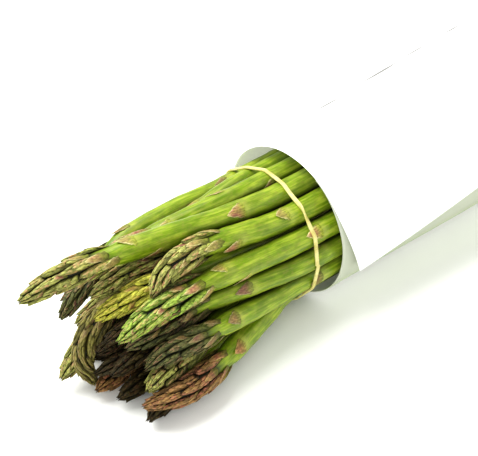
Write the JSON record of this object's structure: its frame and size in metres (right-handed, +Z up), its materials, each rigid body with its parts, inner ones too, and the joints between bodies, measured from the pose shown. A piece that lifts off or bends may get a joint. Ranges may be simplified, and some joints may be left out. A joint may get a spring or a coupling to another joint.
{
  "type": "bundle of asparagus",
  "caption": "Bundle of green asparagus lying down, tied by a thin rubber band, with its lower stalks rolled in a sheet of white paper.",
  "frame": {"origin": "the middle of the bundle's footprint, on the surface it lies on", "axes": "+X along the bundle from the heads to the cut ends, +Z up from the surface, +Y to the back of the bundle as the picture shows it"},
  "size_m": [0.281, 0.086, 0.0797],
  "materials": {
    "asparagus_brown": "fresh green asparagus, slightly waxy",
    "asparagus_dark": "fresh green asparagus, slightly waxy",
    "asparagus_dusky": "fresh green asparagus, slightly waxy",
    "asparagus_fresh": "fresh green asparagus, slightly waxy",
    "asparagus_khaki": "fresh green asparagus, slightly waxy",
    "asparagus_olive": "fresh green asparagus, slightly waxy",
    "asparagus_yellow": "fresh green asparagus, slightly waxy",
    "rubber_band": "pale natural rubber, matt",
    "paper": "plain white wrapping paper, matt"
  },
  "bodies": {
    "root": {"spear_01": "asparagus_olive", "spear_02": "asparagus_dusky", "spear_03": "asparagus_olive", "spear_04": "asparagus_olive", "spear_05": "asparagus_olive", "spear_06": "asparagus_fresh", "spear_07": "asparagus_dusky", "spear_08": "asparagus_dusky", "spear_09": "asparagus_brown", "spear_10": "asparagus_dark", "spear_11": "asparagus_dark", "spear_12": "asparagus_brown", "spear_13": "asparagus_olive", "spear_14": "asparagus_dusky", "spear_15": "asparagus_olive", "spear_16": "asparagus_olive", "spear_17": "asparagus_olive", "spear_18": "asparagus_yellow", "spear_19": "asparagus_olive", "spear_20": "asparagus_khaki", "spear_21": "asparagus_dark", "spear_22": "asparagus_dusky", "spear_23": "asparagus_dark", "spear_24": "asparagus_dark", "spear_25": "asparagus_dusky", "spear_26": "asparagus_dark", "rubber_band": "rubber_band", "paper_wrap": "paper"}
  },
  "joints": []
}
